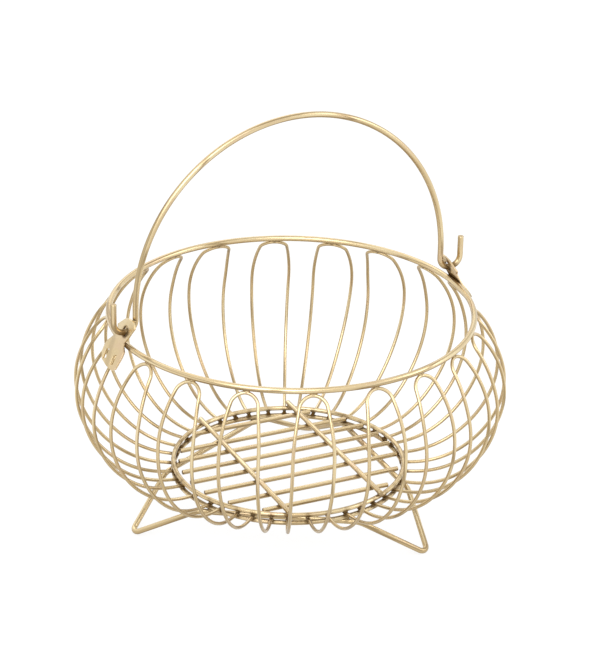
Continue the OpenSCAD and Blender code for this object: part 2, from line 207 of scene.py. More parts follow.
def span(tree, value, low, high, to_low=0.0, to_high=1.0):
    """A value taken from one range to another, smoothly, and held at the ends."""
    made = put(tree, "ShaderNodeMapRange",
               {"Value": value, "From Min": low, "From Max": high,
                "To Min": to_low, "To Max": to_high}, interpolation_type="SMOOTHSTEP")
    return made.outputs["Result"]


def blend(tree, share, first, second):
    """Two colours mixed by a share."""
    made = put(tree, "ShaderNodeMix", {"Factor": share, 6: first, 7: second}, data_type="RGBA")
    return made.outputs[2]


def math(tree, way, first, second=0.0):
    """One sum on two values."""
    return put(tree, "ShaderNodeMath", {0: first, 1: second}, operation=way).outputs[0]


def scaled(tree, place, scale):
    """A place stretched by a scale of its own along each axis."""
    return put(tree, "ShaderNodeMapping", {"Vector": place, "Scale": scale}).outputs["Vector"]


def noise(tree, place, scale, detail):
    """A cloudy noise from 0 to 1."""
    made = put(tree, "ShaderNodeTexNoise", {"Vector": place, "Scale": scale, "Detail": detail})
    return made.outputs["Fac"]


def attribute(tree, name):
    """A value that the mesh stores for each of its points."""
    return put(tree, "ShaderNodeAttribute", attribute_name=name).outputs["Fac"]


GOLD = (0.735, 0.58, 0.335, 1)
# The pale gold below colours pale streaks, which also serve as painted highlights.
PALE_STREAK_AND_HIGHLIGHT_GOLD = (0.92, 0.80, 0.52, 1)
ROSE_GOLD = (0.73, 0.53, 0.36, 1)
# The dull gold below is painted shade, on undersides and flanks.
PAINTED_SHADE_GOLD = (0.375, 0.255, 0.105, 1)
# The dark line colour below is painted reflection: thin dark lines along the wires.
PAINTED_DARK_REFLECTION = (0.27, 0.18, 0.08, 1)
BURNT = (0.135, 0.068, 0.010, 1)

# Waves a metre of the noises. Where they differ by axis, the first axis runs along the
# wire and the second round it.
PATCH_WAVES = 55.0
STREAK_WAVES = (24.0, 420.0, 24.0)
# The next waves place the painted dark reflection lines.
PAINTED_REFLECTION_LINE_WAVES = (9.0, 260.0, 9.0)
SKIN_LINE_WAVES = (90.0, 2600.0, 1.0)
DENT_WAVES = 160.0
SOOT_WAVES = 900.0

# Each range gives the two values between which a mask goes from none to full. Where
# four numbers stand, the last two are what it goes from and to instead, as the
# roughness does too.
# The under, flank and top ranges shape the painted shade.
UNDER_RANGE = (0.15, -0.65)
FLANK_RANGE = (0.66, 1.05, 0.0, 0.75)
TOP_RANGE = (0.80, 0.30, 0.5, 1.0)
ROSE_RANGE = (0.52, 0.70, 0.0, 0.5)
# The next range sets the pale streaks, partly painted highlights.
PALE_STREAK_AND_HIGHLIGHT_RANGE = (0.46, 0.68, 0.0, 0.6)
# The next range shapes the painted dark reflection lines.
PAINTED_REFLECTION_LINE_RANGE = (0.036, 0.008, 0.0, 0.75)
BURN_RANGE = (0.18, 0.85)
ROUGHNESS_RANGE = (0.7, 1.3, 0.22, 0.36)
STREAKED_SHARE, SOOT_SHARE, LINE_HEIGHT_SHARE = 0.7, 0.35, 0.35


def gold_tone_and_painted_light():
    """The tone of the aged lacquer, with painted light in it: rosy patches and pale streaks
    along the wire, the pale streaks partly painted highlights; thin dark lines along
    the wire, which are painted reflections; and painted shade, a duller brown on its
    flanks and on what faces the floor, scaled by a given strength."""
    tree, given, results = group(
        "aged gold tone and painted light",
        [("Vector", "Vector"), ("Along", "Vector"), ("Facing", "Vector"), ("Painted shade", "Float"),
         ("Flank", "Float")],
        [("Color", "Color"), ("Painted shade", "Float")])
    patches = noise(tree, given["Vector"], PATCH_WAVES, 3.0)
    streaks = noise(tree, scaled(tree, given["Along"], STREAK_WAVES), 1.0, 3.0)
    dark_reflection_noise = noise(tree, scaled(tree, given["Along"], PAINTED_REFLECTION_LINE_WAVES), 1.0, 1.0)
    facing_up = put(tree, "ShaderNodeSeparateXYZ", {"Vector": given["Facing"]}).outputs["Z"]
    uneven = math(tree, "MULTIPLY", math(tree, "SUBTRACT", streaks, 0.5), STREAKED_SHARE)
    # Painted shade: darker on what faces the floor and on the flanks, less so on top.
    under = span(tree, math(tree, "ADD", facing_up, uneven), *UNDER_RANGE)
    flank = span(tree, math(tree, "ADD", given["Flank"], uneven), *FLANK_RANGE)
    flank = math(tree, "MULTIPLY", flank, span(tree, facing_up, *TOP_RANGE))
    painted_shade = math(tree, "MULTIPLY", math(tree, "MAXIMUM", under, flank), given["Painted shade"])
    gold = blend(tree, span(tree, patches, *ROSE_RANGE), GOLD, ROSE_GOLD)
    # Pale streaks along the wire, partly painted highlights.
    gold = blend(tree, span(tree, streaks, *PALE_STREAK_AND_HIGHLIGHT_RANGE), gold, PALE_STREAK_AND_HIGHLIGHT_GOLD)
    # The painted shade is laid on here as a duller brown.
    gold = blend(tree, painted_shade, gold, PAINTED_SHADE_GOLD)
    # Painted reflections: thin dark lines along the wire, as strong as the painted shade.
    line_gap = math(tree, "ABSOLUTE", math(tree, "SUBTRACT", dark_reflection_noise, 0.5))
    line = math(tree, "MULTIPLY", span(tree, line_gap, *PAINTED_REFLECTION_LINE_RANGE), given["Painted shade"])
    tree.links.new(blend(tree, line, gold, PAINTED_DARK_REFLECTION), results["Color"])
    tree.links.new(painted_shade, results["Painted shade"])
    return tree


def weld_burn():
    """The burn round a weld, and the painted shade that shares its mask: the stored heat, with its
    edge broken up by fine soot.
    """
    tree, given, results = group(
        "weld burn", [("Vector", "Vector"), ("Heat", "Float")], [("Mask", "Float")])
    soot = math(tree, "SUBTRACT", noise(tree, given["Vector"], SOOT_WAVES, 4.0), 0.5)
    heat = math(tree, "ADD", given["Heat"], math(tree, "MULTIPLY", soot, SOOT_SHARE))
    tree.links.new(span(tree, heat, *BURN_RANGE), results["Mask"])
    return tree


def drawn_skin():
    """The surface of the lacquered wire: drawing lines along it and small dents, as a
    height and as a roughness."""
    tree, given, results = group(
        "drawn skin", [("Vector", "Vector"), ("Along", "Vector")],
        [("Height", "Float"), ("Rough", "Float")])
    lines = noise(tree, scaled(tree, given["Along"], SKIN_LINE_WAVES), 1.0, 3.0)
    dents = noise(tree, given["Vector"], DENT_WAVES, 2.0)
    height = math(tree, "ADD", math(tree, "MULTIPLY", lines, LINE_HEIGHT_SHARE), dents)
    rough = span(tree, math(tree, "ADD", lines, dents), *ROUGHNESS_RANGE)
    tree.links.new(height, results["Height"])
    tree.links.new(rough, results["Rough"])
    return tree


tone, burn, skin = gold_tone_and_painted_light(), weld_burn(), drawn_skin()

PLATE_GRAIN = (1.0, 0.06, 1.0)
# The middle value is extra roughness where the painted shade lies.
BURN_ROUGHNESS, PAINTED_SHADE_ROUGHNESS, BURN_METAL_LOSS = 0.25, 0.12, 0.3
COAT, COAT_ROUGHNESS = 0.3, 0.12
BUMP, BUMP_DEPTH = 0.06, 0.12 * MM


def finish_metal(name, painted_shade, more_rough=0.0, on_wire=True, heat=None):
    """A lacquered metal: the aged tone with its painted shade, painted highlights and
    painted dark reflection lines, its drawn skin and its burns, on one Principled
    shader with a thin clear coat. A given strength scales the painted shade and the
    dark lines. The burns follow the heat stored in the mesh, or what the function
    `heat` works out from the place."""
    made = bpy.data.materials.new(name)
    made.use_nodes = True
    tree = made.node_tree
    shader = tree.nodes["Principled BSDF"].inputs
    place = put(tree, "ShaderNodeTexCoord").outputs
    near = place["Object"]
    along = place["UV"] if on_wire else scaled(tree, near, PLATE_GRAIN)
    toned = put(tree, "ShaderNodeGroup", {
        "Vector": near, "Along": along, "Facing": place["Normal"], "Painted shade": painted_shade,
        "Flank": attribute(tree, "flank")}, node_tree=tone).outputs
    skinned = put(tree, "ShaderNodeGroup", {"Vector": near, "Along": along}, node_tree=skin).outputs
    scorch_and_shade = heat(tree, near) if heat else attribute(tree, "scorch_and_shade")
    burned = put(tree, "ShaderNodeGroup", {"Vector": near, "Heat": scorch_and_shade}, node_tree=burn)
    mask = burned.outputs["Mask"]
    clean = math(tree, "SUBTRACT", 1.0, mask)
    rough = math(tree, "ADD", math(tree, "ADD", skinned["Rough"], more_rough),
                 math(tree, "MULTIPLY", mask, BURN_ROUGHNESS))
    rough = math(tree, "ADD", rough, math(tree, "MULTIPLY", toned["Painted shade"], PAINTED_SHADE_ROUGHNESS))
    metallic = math(tree, "SUBTRACT", 1.0, math(tree, "MULTIPLY", mask, BURN_METAL_LOSS))
    bump = put(tree, "ShaderNodeBump",
               {"Height": skinned["Height"], "Strength": BUMP, "Distance": BUMP_DEPTH})
    for label, value in (("Base Color", blend(tree, mask, toned["Color"], BURNT)),
                         ("Roughness", rough), ("Metallic", metallic),
                         ("Normal", bump.outputs["Normal"]),
                         ("Coat Weight", math(tree, "MULTIPLY", clean, COAT)),
                         ("Coat Roughness", COAT_ROUGHNESS)):
        feed(tree, shader[label], value)
    return made


gold_wire = finish_metal("antique gold wire", painted_shade=0.9)

# The places of the ribs, which the burns of the rim need as well. They are set by
# hand, so each place and each twist is a share of the even pitch.
RIB_COUNT = 20
RIB_PITCH = 2 * np.pi / RIB_COUNT
RIB_TURN = np.radians(-3.8)
RIB_PLACES = np.array([0.18, 0.13, 0.22, 0.17, 0.01, 0.03, -0.01, 0.01, -0.03, -0.02,
                       -0.10, 0.06, 0.01, -0.05, -0.09, -0.01, -0.04, -0.06, 0.01, 0.13])
RIB_TWISTS = np.array([-0.04, -0.17, -0.21, -0.26, -0.04, 0, -0.03, -0.24, -0.17, -0.03,
                       0.06, -0.11, -0.08, -0.04, 0.10, 0.11, 0.05, 0.01, -0.11, -0.25])
rib_angles = RIB_TURN + RIB_PITCH * (np.arange(RIB_COUNT) + RIB_PLACES)
rib_top_angles = rib_angles + RIB_PITCH * RIB_TWISTS
RIB_SEAT_ANGLE = np.radians(16)
rim_welds = around(RIM_RADIUS + RIM_WIRE / 2 * np.sin(RIB_SEAT_ANGLE), rib_top_angles,
                   rim_z - RIM_WIRE / 2 * np.cos(RIB_SEAT_ANGLE))
RIM_BURN, EAR_BURN = 2.6 * MM, 3.6 * MM
EAR_WELD_HALF, EAR_WELD_SPOTS = 8 * MM, 9
ear_weld_line = np.linspace(-EAR_WELD_HALF, EAR_WELD_HALF, EAR_WELD_SPOTS)
ear_welds = np.concatenate([
    np.stack(np.broadcast_arrays(side * (RIM_RADIUS + RIM_WIRE / 2), ear_weld_line, rim_z), -1)
    for side in (-1, 1)])
turns = np.linspace(0, 2 * np.pi, RING_STEPS, endpoint=False)
ring_out = around(1.0, turns, 0.0)
wire("rim_ring_wire", "rim_ring", around(RIM_RADIUS, turns, rim_z), ring_out, RIM_WIRE,
     RIM_SIDES, np.concatenate([rim_welds, ear_welds]),
     np.repeat([RIM_BURN, EAR_BURN], [len(rim_welds), len(ear_welds)]), closed=True)

# Hairpin ribs.
# Each rib is one thin wire bent double. Its round top is welded to the underside
# of the rim and its two ends are held between the base rings. They are bent and set
# by hand, so each has its own place, twist and width.
RIB_WIRE = 2.2 * MM
RIB_LENGTH = 149.8 * MM
RIB_REACH = 2.2 * MM
RIB_LEAN, RIB_TUCK = np.radians(46.4), np.radians(86.5)
# Five arcs make the curve of a rib: their shares of its length and of its whole turn.
RIB_ARCS = np.array([0.246, 0.212, 0.280, 0.200, 0.062])
RIB_BENDS = np.array([0.234, 0.252, 0.275, 0.239, 0])
# Half widths of an even hairpin at four places along it, and each rib's own share of
# them at its ends and at its top.
RIB_MARKS = np.array([0, 0.267, 0.667, 1]) * RIB_LENGTH
RIB_HALVES = np.array([7.2, 12.2, 9.9, 5.4]) * MM
RIB_TOP_SLOPE, RIB_END_SLOPE = 1.5, 1.3
RIB_LOW_WIDTHS = np.array([0.80, 1.06, 0.97, 0.93, 0.96, 0.86, 0.99, 0.88, 0.96, 1.01,
                           0.80, 1.30, 1.04, 1.04, 1.12, 1.07, 0.98, 0.98, 1.22, 1.15])
RIB_TOP_WIDTHS = np.array([0.97, 1.05, 1.18, 1.14, 1.05, 1.14, 1.07, 1.08, 0.95, 0.85,
                           0.90, 0.90, 0.97, 0.98, 0.98, 0.98, 0.98, 1.04, 1.08, 1.05])
CURVE_STEPS, TOP_STEPS, LEG_RINGS = 480, 16, 120
RIB_SIDES = 14
RIB_END_BURN = 6.5 * MM


def rib_heading(share):
    """Angle of the rib from straight down at a share of its length, outwards positive:
    the lean at the rim less the turn made so far on each of its arcs."""
    starts = np.cumsum(RIB_ARCS) - RIB_ARCS
    done = np.clip((np.asarray(share)[..., None] - starts) / RIB_ARCS, 0, 1)
    return RIB_LEAN - (RIB_LEAN + RIB_TUCK) * (done * RIB_BENDS).sum(-1)


rib_seat = (RIM_WIRE + RIB_WIRE) / 2 + WELD_GAP
curve_shares = np.linspace(0, 1, CURVE_STEPS + 1)
curve_step = RIB_LENGTH / CURVE_STEPS
middle_heading = rib_heading((curve_shares[1:] + curve_shares[:-1]) / 2)
curve_out = (RIM_RADIUS + rib_seat * np.sin(RIB_SEAT_ANGLE)
             + np.r_[0, np.cumsum(np.sin(middle_heading)) * curve_step])
curve_down = (-rib_seat * np.cos(RIB_SEAT_ANGLE)
              - np.r_[0, np.cumsum(np.cos(middle_heading)) * curve_step])


def rib_half(length):
    """Half width of a hairpin at a length along it: a cubic through each pair of its
    four marked widths, with the slopes that make the whole curve smooth."""
    marks, halves = RIB_MARKS, RIB_HALVES
    slopes = np.array([RIB_TOP_SLOPE * (halves[1] - halves[0]) / (marks[1] - marks[0]), 0,
                       (halves[3] - halves[1]) / (marks[3] - marks[1]),
                       RIB_END_SLOPE * (halves[3] - halves[2]) / (marks[3] - marks[2])])
    k = np.clip(np.searchsorted(marks, length, side="right") - 1, 0, 2)
    gap = marks[k + 1] - marks[k]
    t = (length - marks[k]) / gap
    return (halves[k] * (1 + 2 * t) * (1 - t) ** 2 + gap * slopes[k] * t * (1 - t) ** 2
            + halves[k + 1] * t * t * (3 - 2 * t) - gap * slopes[k + 1] * t * t * (1 - t))


bend_angle = np.radians(np.linspace(0, 90, TOP_STEPS + 1))[:-1]
bend_length = RIB_HALVES[0] * (1 - np.cos(bend_angle))
leg_length = np.linspace(RIB_HALVES[0], RIB_LENGTH, LEG_RINGS)
half_length = np.r_[bend_length, leg_length]
half_aside = np.r_[rib_half(bend_length) * np.sin(bend_angle), rib_half(leg_length)]
rib_lengths = np.r_[half_length[:0:-1], half_length]
rib_asides = np.r_[-half_aside[:0:-1], half_aside]


def rib_line(i):
    """The line of rib i on the bowl, and the way out of the bowl along it. A point at
    length s and sideways offset t stands at the radius and height of the rib curve
    at s. It is turned by the rib's place, by its twist, which fades to the base, and
    by the angle whose sine is t over the radius."""
    fade = 1 - rib_lengths / RIB_LENGTH
    out = np.interp(rib_lengths, curve_shares * RIB_LENGTH, curve_out)
    down = np.interp(rib_lengths, curve_shares * RIB_LENGTH, curve_down)
    width = RIB_LOW_WIDTHS[i] + (RIB_TOP_WIDTHS[i] - RIB_LOW_WIDTHS[i]) * fade
    aside = np.arcsin(rib_asides * width / out)
    angle = rib_angles[i] + RIB_PITCH * RIB_TWISTS[i] * fade + aside
    heading = rib_heading(rib_lengths / RIB_LENGTH)
    return around(out, angle, rim_z + down), around(np.cos(heading), angle, np.sin(heading))


weld_ring = np.interp(RIB_LENGTH - RIB_REACH, leg_length, np.arange(LEG_RINGS))
weld_ring = int(round(float(weld_ring))) + TOP_STEPS
rib_end_welds = []
for i in range(RIB_COUNT):
    line, outward = rib_line(i)
    middle = len(line) // 2
    ends = line[[middle - weld_ring, middle + weld_ring]]
    rib_end_welds.append(ends)
    wire(f"rib_wire_{i + 1:02d}", f"hairpin_{i + 1:02d}", line, outward, RIB_WIRE,
         RIB_SIDES, np.concatenate([ends, line[[0, -1]], rim_welds[i:i + 1]]),
         np.repeat([RIB_END_BURN, RIM_BURN], [4, 1]))
rib_end_welds = np.concatenate(rib_end_welds)

# Base rings.
# Two equal rings of medium wire clamp the ends of the ribs between them, and each
# end is welded to both. Painted shade darkens the gap between them all round,
# through the same mask as the burns.
UP = np.array([0, 0, 1.0])
BASE_WIRE, BASE_SIDES = 3 * MM, 18
BASE_BURN = 5 * MM
RIB_WELD_SHARE, SEAM_SHARE = 0.4, 0.35
SEAM_EVERY = 4
base_radius = float(np.interp(RIB_LENGTH - RIB_REACH, curve_shares * RIB_LENGTH, curve_out))
rib_base_down = float(np.interp(RIB_LENGTH - RIB_REACH, curve_shares * RIB_LENGTH, curve_down))
rib_base_z = rim_z + rib_base_down
ring_step = (BASE_WIRE + RIB_WIRE) / 2 + 2 * WELD_GAP
base_upper_z, base_lower_z = rib_base_z + ring_step, rib_base_z - ring_step

# The seats of the grille's cross bars on the upper ring.
GRILLE_TURN = np.radians(-3)
BAR_OFFSET, BAR_REACH, BAR_WIRE = 31.8 * MM, 2.6 * MM, 3.2 * MM
bar_half = np.sqrt((base_radius + BAR_REACH) ** 2 - BAR_OFFSET ** 2)
bar_seat = np.sqrt(base_radius ** 2 - BAR_OFFSET ** 2)


def grille_place(x, y, z):
    """Points given along and across the slats, turned with the grille."""
    x, y, z = np.broadcast_arrays(x, y, z)
    return np.stack([x * np.cos(GRILLE_TURN) - y * np.sin(GRILLE_TURN),
                     x * np.sin(GRILLE_TURN) + y * np.cos(GRILLE_TURN), z], -1)


bar_welds = grille_place(np.array([-1, -1, 1, 1]) * BAR_OFFSET,
                         np.array([-1, 1, -1, 1]) * bar_seat, base_upper_z + BASE_WIRE / 2)

# The line of the foot wire, which is welded to the lower ring in six places.
FOOT_COUNT = 3
FOOT_WIRE, FOOT_DROP, FOOT_RADIUS = 3.6 * MM, 21.8 * MM, 105.9 * MM
FOOT_SPREAD, FOOT_OVERHANG = np.radians(20.4), 5.2 * MM
FOOT_TIP_BEND, FOOT_TOP_BEND = 4.5 * MM, 14 * MM
FOOT_TURN = np.radians(55)
FOOT_PLACES = np.array([0, 0.02, 0.08])
FOOT_BEND_STEPS, FOOT_LEG_STEPS, FOOT_FIT_ROUNDS = 14, 41, 9
FOOT_TOUCH = 0.5 * MM
foot_angles = (FOOT_TURN + 2 * np.pi / FOOT_COUNT * np.arange(FOOT_COUNT)
               + FOOT_SPREAD * FOOT_PLACES)
foot_z = base_lower_z - (FOOT_WIRE + BASE_WIRE) / 2 - WELD_GAP
foot_top_radius = base_radius + FOOT_OVERHANG


def foot_corners(angle):
    """The three corners of a foot: its leg tops on the frame's circle, and the point
    where its legs would meet. That lies beyond the round tip by the tip's bend radius
    times one less than one over the sine of half its angle, found in a few rounds."""
    first = around(foot_top_radius, angle - FOOT_SPREAD, foot_z)
    second = around(foot_top_radius, angle + FOOT_SPREAD, foot_z)
    tip = around(FOOT_RADIUS, angle, foot_z - FOOT_DROP)
    middle = (first + second) / 2
    half = np.linalg.norm(second - first) / 2
    reach = corner = np.linalg.norm(tip - middle)
    for _ in range(FOOT_FIT_ROUNDS):
        corner = reach + FOOT_TIP_BEND * (1 / np.sin(np.arctan(half / corner)) - 1)
    return [first, middle + (tip - middle) * corner / reach, second]


def foot_bend(before, corner, after, radius):
    """An arc that rounds a corner: from the centre, the radius times the cosine of
    the turn so far along the way out, and its sine along the first leg."""
    u, v = unit(corner - before), unit(after - corner)
    turn = np.arccos(u @ v)
    out = np.cross(u, unit(np.cross(u, v)))
    centre = corner + unit(v - u) * radius / np.cos(turn / 2)
    a = np.linspace(0, turn, FOOT_BEND_STEPS + 1)[:, None]
    return centre + radius * (np.cos(a) * out + np.sin(a) * u)


corners = [corner for angle in foot_angles for corner in foot_corners(angle)]
bends = [foot_bend(corners[k - 1], corner, corners[(k + 1) % len(corners)],
                   FOOT_TIP_BEND if k % 3 == 1 else FOOT_TOP_BEND)
         for k, corner in enumerate(corners)]
leg_share = np.linspace(0, 1, FOOT_LEG_STEPS + 1)[1:-1, None]
foot_line = np.concatenate([
    np.concatenate([bend, bend[-1] + (after[0] - bend[-1]) * leg_share])
    for bend, after in zip(bends, bends[1:] + bends[:1])])


def nearest(points, angle):
    """The one of the points that lies nearest to an angle round the Z axis."""
    turn = np.arctan2(points[:, 1], points[:, 0]) - angle
    return points[np.abs(np.angle(np.exp(1j * turn))).argmin()]


foot_gap = (np.abs(np.hypot(foot_line[:, 0], foot_line[:, 1]) - base_radius)
            + np.abs(foot_line[:, 2] - foot_z))
touching = foot_line[foot_gap < FOOT_TOUCH]
foot_welds = np.array([nearest(touching, angle + way * FOOT_SPREAD)
                       for angle in foot_angles for way in (-1, 1)]) + UP * (FOOT_WIRE / 2)

for level, z, more in (("upper", base_upper_z, bar_welds), ("lower", base_lower_z, foot_welds)):
    spots = rib_end_welds + UP * ((z - rib_base_z) * RIB_WELD_SHARE)
    # Painted shade between the rings: a close row of extra spots on the side of each ring that
    # faces the other.
    seam = around(base_radius, turns[::SEAM_EVERY], rib_base_z - (z - rib_base_z) * SEAM_SHARE)
    wire(f"base_ring_{level}_wire", f"base_ring_{level}", around(base_radius, turns, z), ring_out,
         BASE_WIRE, BASE_SIDES, np.concatenate([spots, more, seam]), BASE_BURN, closed=True)

# Grille.
# Eight thin straight slats hang from two medium cross bars, which lie on the upper
# base ring. The slats stop short of the ring, and every crossing is spot welded.
SLAT_COUNT, SLAT_WIRE = 8, 3 * MM
SLAT_MARGIN, SLAT_INSET = 18.1 * MM, 3.6 * MM
SLAT_PLACES = np.array([0.04, -0.11, 0.08, 0.15, 0.23, 0.24, 0.11, 0.03])
GRILLE_BURN, SLAT_END_BURN = 4.4 * MM, 2.4 * MM
GRILLE_SIDES, SLAT_RINGS, BAR_RINGS = 16, 140, 150
slat_pitch = 2 * (base_radius - SLAT_MARGIN) / (SLAT_COUNT - 1)
bar_z = base_upper_z + (BASE_WIRE + BAR_WIRE) / 2 + WELD_GAP
slat_z = bar_z - (BAR_WIRE + SLAT_WIRE) / 2 - WELD_GAP
slat_y = slat_pitch * ((SLAT_COUNT - 1) / 2 - np.arange(SLAT_COUNT) + SLAT_PLACES)
slat_half = np.sqrt((base_radius - SLAT_INSET) ** 2 - slat_y ** 2)
cross_x, cross_y = np.meshgrid([-BAR_OFFSET, BAR_OFFSET], slat_y)
grille_welds = grille_place(cross_x.ravel(), cross_y.ravel(), slat_z + SLAT_WIRE / 2)
for i in range(SLAT_COUNT):
    line = grille_place(np.linspace(-slat_half[i], slat_half[i], SLAT_RINGS), slat_y[i], slat_z)
    wire(f"slat_wire_{i + 1}", f"slat_{i + 1}", line, np.broadcast_to(UP, line.shape), SLAT_WIRE,
         GRILLE_SIDES, np.concatenate([grille_welds, line[[0, -1]]]),
         np.repeat([GRILLE_BURN, SLAT_END_BURN], [len(grille_welds), 2]))
for side, way in (("left", -1), ("right", 1)):
    line = grille_place(way * BAR_OFFSET, np.linspace(-bar_half, bar_half, BAR_RINGS), bar_z)
    wire(f"cross_bar_{side}_wire", f"cross_bar_{side}", line, np.broadcast_to(UP, line.shape),
         BAR_WIRE, GRILLE_SIDES, np.concatenate([grille_welds, bar_welds]), GRILLE_BURN)

# Feet.
# One closed wire under the lower ring makes the feet: three chords of it cross the
# base, and between them it runs out and down to three round tips.
FOOT_BURN, FOOT_SIDES = 4 * MM, 18
wire("foot_frame_wire", "foot_frame", foot_line, np.broadcast_to(UP, foot_line.shape), FOOT_WIRE,
     FOOT_SIDES, foot_welds, FOOT_BURN, closed=True)

# Ears.
# The two ears are stamped from sheet steel and welded to the outside of the rim.
# The press leaves a small roll on their edges. The handle hangs in their holes.
PIVOT_HEIGHT = 8.2 * MM
EAR_ROLL, EAR_ROLL_STEPS, EAR_ROLL_FROM = 0.22 * MM, 2, np.radians(35)
EAR_MESH_GAP, EAR_FLAT_WITHIN = 0.002 * MM, np.radians(1)
EAR_SEAT_DARK_REACH, HOLE_BURN = 5.5 * MM, 5.8 * MM
EAR_SEAT_OUT, EAR_SEAT_UP, EAR_SEAT_DRAWN = 2 * MM, 1.5 * MM, 0.3
EAR_CORE_SHARE, EAR_MOST_HEAT = 0.4, 0.9
EAR_INNER_RANGE = (0.02, -0.05)
pivot_z = rim_z + PIVOT_HEIGHT
ear_seat = (RIM_RADIUS + EAR_SEAT_OUT, 0, rim_z + EAR_SEAT_UP)


def ear_heat(tree, near):
    """Heat on an ear: a dark mark on the faces that look into the bowl, by the rim,
    and one round its hole, where the handle has rubbed. Both marks fade with the
    distance from a centre, and the first is drawn out along the rim."""
    folded = put(tree, "ShaderNodeVectorMath", {0: near}, operation="ABSOLUTE").outputs[0]
    marks = []
    for centre, scale, reach in (
            (ear_seat, (1, EAR_SEAT_DRAWN, 1), EAR_SEAT_DARK_REACH),
            ((RIM_RADIUS, 0, pivot_z), (1, 1, 1), HOLE_BURN)):
        away = folded
        for way, value in (("SUBTRACT", centre), ("MULTIPLY", scale)):
            away = put(tree, "ShaderNodeVectorMath", {0: away, 1: value}, operation=way).outputs[0]
        gap = put(tree, "ShaderNodeVectorMath", {0: away}, operation="LENGTH").outputs["Value"]
        marks.append(span(tree, gap, reach, reach * EAR_CORE_SHARE, 0.0, EAR_MOST_HEAT))
    facing = put(tree, "ShaderNodeTexCoord").outputs["Normal"]
    looks = put(tree, "ShaderNodeSeparateXYZ", {"Vector": facing}).outputs["X"]
    stands = put(tree, "ShaderNodeSeparateXYZ", {"Vector": near}).outputs["X"]
    # The first mark only darkens the faces that look into the bowl.
    inside = span(tree, math(tree, "MULTIPLY", looks, stands), *EAR_INNER_RANGE)
    return math(tree, "MAXIMUM", math(tree, "MULTIPLY", marks[0], inside), marks[1])


ear_plate = finish_metal("antique gold plate", painted_shade=0.35, more_rough=0.08, on_wire=False,
                         heat=ear_heat)
for side in ("left", "right"):
    node = f"ear_{side}"
    shape = bmesh.new()
    shape.from_mesh(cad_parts[node].data)
    bmesh.ops.remove_doubles(shape, verts=shape.verts, dist=EAR_MESH_GAP)
    bmesh.ops.dissolve_limit(shape, angle_limit=EAR_FLAT_WITHIN, verts=shape.verts,
                             edges=shape.edges)
    mesh = bpy.data.meshes.new(f"ear_{side}_plate")
    shape.to_mesh(mesh)
    shape.free()
    mesh.polygons.foreach_set("use_smooth", np.ones(len(mesh.polygons), bool))
    plate = add_piece(f"ear_{side}_plate", mesh, ear_plate, "basket", [node])
    roll = plate.modifiers.new("edge roll", "BEVEL")
    roll.width = EAR_ROLL
    roll.segments = EAR_ROLL_STEPS
    roll.limit_method = "ANGLE"
    roll.angle_limit = EAR_ROLL_FROM
    roll.harden_normals = True

# Handle.
# The bail is one thick wire: a half circle over two straight legs. Each leg turns
# out through its ear and up again in an open hook, and swings there.
HANDLE_WIRE = 3.8 * MM
HANDLE_STEP, HANDLE_LEG = 6.8 * MM, 13.6 * MM
HOOK_GAP, HOOK_HEIGHT, HOOK_BEND = 14.8 * MM, 20 * MM, 7 * MM
HANDLE_BURN, HANDLE_CUT = 6.5 * MM, 0.25 * MM
RUBBED_IN, RUBBED_OUT = 2 * MM, 2.5 * MM
HANDLE_SIDES, ARCH_RINGS = 22, 241
HOOK_END_STEPS, HOOK_BEND_STEPS, HOOK_LEG_STEPS = 14, 16, 6
handle_radius = RIM_RADIUS - HANDLE_STEP
hook_x = handle_radius + HOOK_GAP
quarter = np.linspace(0, np.pi / 2, HOOK_BEND_STEPS + 1)
end_up = np.linspace(HOOK_HEIGHT, HOOK_BEND, HOOK_END_STEPS + 1)[:-1]
leg_up = np.linspace(HOOK_BEND, HANDLE_LEG, HOOK_LEG_STEPS + 1)[:-1]
hook = np.concatenate([
    np.stack([np.full(HOOK_END_STEPS, hook_x), end_up], -1),
    np.stack([hook_x - HOOK_BEND + HOOK_BEND * np.cos(quarter),
              HOOK_BEND - HOOK_BEND * np.sin(quarter)], -1),
    np.stack([handle_radius + HOOK_BEND - HOOK_BEND * np.sin(quarter),
              HOOK_BEND - HOOK_BEND * np.cos(quarter)], -1),
    np.stack([np.full(HOOK_LEG_STEPS, handle_radius), leg_up], -1),
])
arch = np.linspace(0, np.pi, ARCH_RINGS)
top = np.stack([handle_radius * np.cos(arch), HANDLE_LEG + handle_radius * np.sin(arch)], -1)
bail = np.concatenate([hook, top, hook[::-1] * np.array([-1, 1])])
bail = np.stack([bail[:, 0], np.zeros(len(bail)), pivot_z + bail[:, 1]], -1)
rubbed = np.array([[way * (RIM_RADIUS + out), 0, pivot_z]
                   for way in (-1, 1) for out in (-RUBBED_IN, RUBBED_OUT)])
wire("handle_wire", "handle", bail, np.broadcast_to(np.array([0, 1.0, 0]), bail.shape),
     HANDLE_WIRE, HANDLE_SIDES, rubbed, HANDLE_BURN, body="handle", cut=HANDLE_CUT)

# Weld beads.
# Where two wires are spot welded a little metal is squeezed out, and cools to a
# dark uneven bead that fills the corner between them.
BEAD_ROWS, BEAD_COLUMNS = 7, 10
BEAD_TIP_SHARE = 0.88
BEAD_OVAL, BEAD_THREE_LOBES, BEAD_TILT, BEAD_SPREAD = 0.13, 0.10, 0.08, 0.12
bead_metal = finish_metal("burnt weld metal", painted_shade=0.5, more_rough=0.2, on_wire=False)


